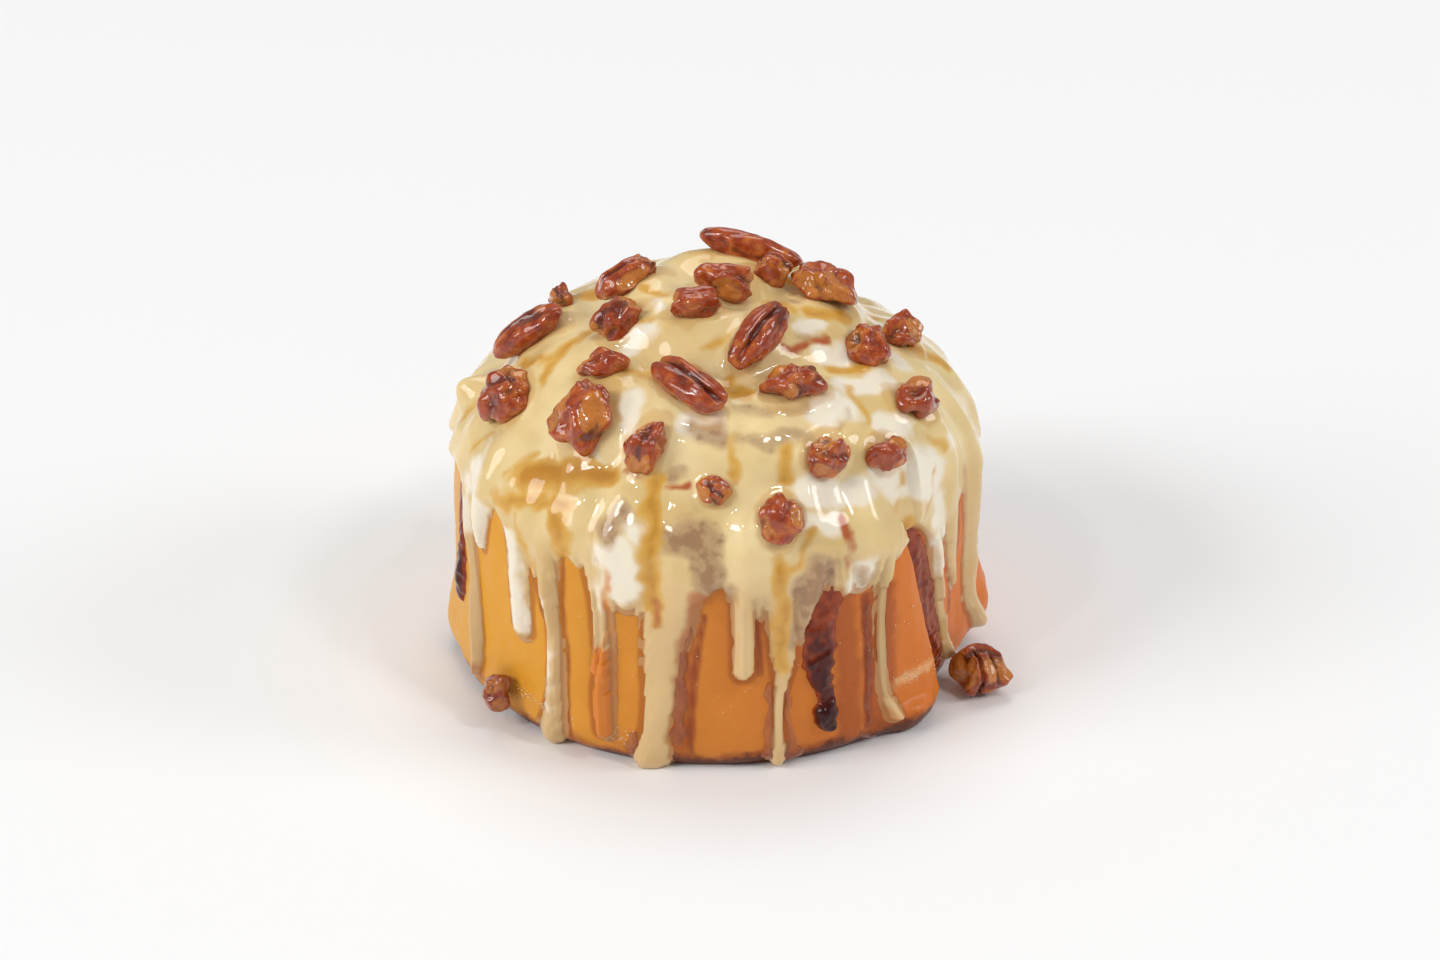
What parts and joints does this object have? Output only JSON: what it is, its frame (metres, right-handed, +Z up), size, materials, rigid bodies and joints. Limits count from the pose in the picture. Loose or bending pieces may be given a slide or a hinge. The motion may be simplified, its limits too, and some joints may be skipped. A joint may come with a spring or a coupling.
{
  "type": "sticky bun",
  "caption": "Tall coiled sticky bun with cinnamon filling, dripping maple icing, caramel and glazed pecans, standing on a flat base.",
  "frame": {"origin": "middle of the flat base", "axes": "+Z up; -Y is the front that the picture shows; +X is the picture's right"},
  "size_m": [0.1224, 0.1188, 0.0951],
  "materials": {
    "baked_dough": "soft golden baked crust, browned at the foot",
    "cinnamon_filling": "dark sticky cinnamon sugar, glossy where it has run out",
    "maple_icing": "smooth set maple icing, satin to glossy",
    "glazed_pecan": "roasted pecan under a thin glaze",
    "caramel_sauce": "clear amber caramel, wet gloss"
  },
  "bodies": {
    "root": {"bun_dough": "baked_dough", "cinnamon_filling": "cinnamon_filling", "maple_icing": "maple_icing", "pecan_01": "glazed_pecan", "pecan_02": "glazed_pecan", "pecan_03": "glazed_pecan", "pecan_04": "glazed_pecan", "pecan_05": "glazed_pecan", "pecan_06": "glazed_pecan", "pecan_07": "glazed_pecan", "pecan_08": "glazed_pecan", "pecan_09": "glazed_pecan", "pecan_10": "glazed_pecan", "pecan_11": "glazed_pecan", "pecan_12": "glazed_pecan", "pecan_13": "glazed_pecan", "pecan_14": "glazed_pecan", "pecan_15": "glazed_pecan", "pecan_16": "glazed_pecan", "pecan_17": "glazed_pecan", "pecan_18": "glazed_pecan", "pecan_19": "glazed_pecan", "pecan_20": "glazed_pecan", "pecan_21": "glazed_pecan", "pecan_22": "glazed_pecan", "pecan_23": "glazed_pecan", "pecan_24": "glazed_pecan", "pecan_25": "glazed_pecan", "pecan_26": "glazed_pecan", "pecan_27": "glazed_pecan", "pecan_28": "glazed_pecan", "pecan_29": "glazed_pecan", "pecan_30": "glazed_pecan", "pecan_31": "glazed_pecan", "pecan_32": "glazed_pecan", "pecan_33": "glazed_pecan", "pecan_34": "glazed_pecan", "pecan_at_foot": "glazed_pecan"}
  },
  "joints": []
}
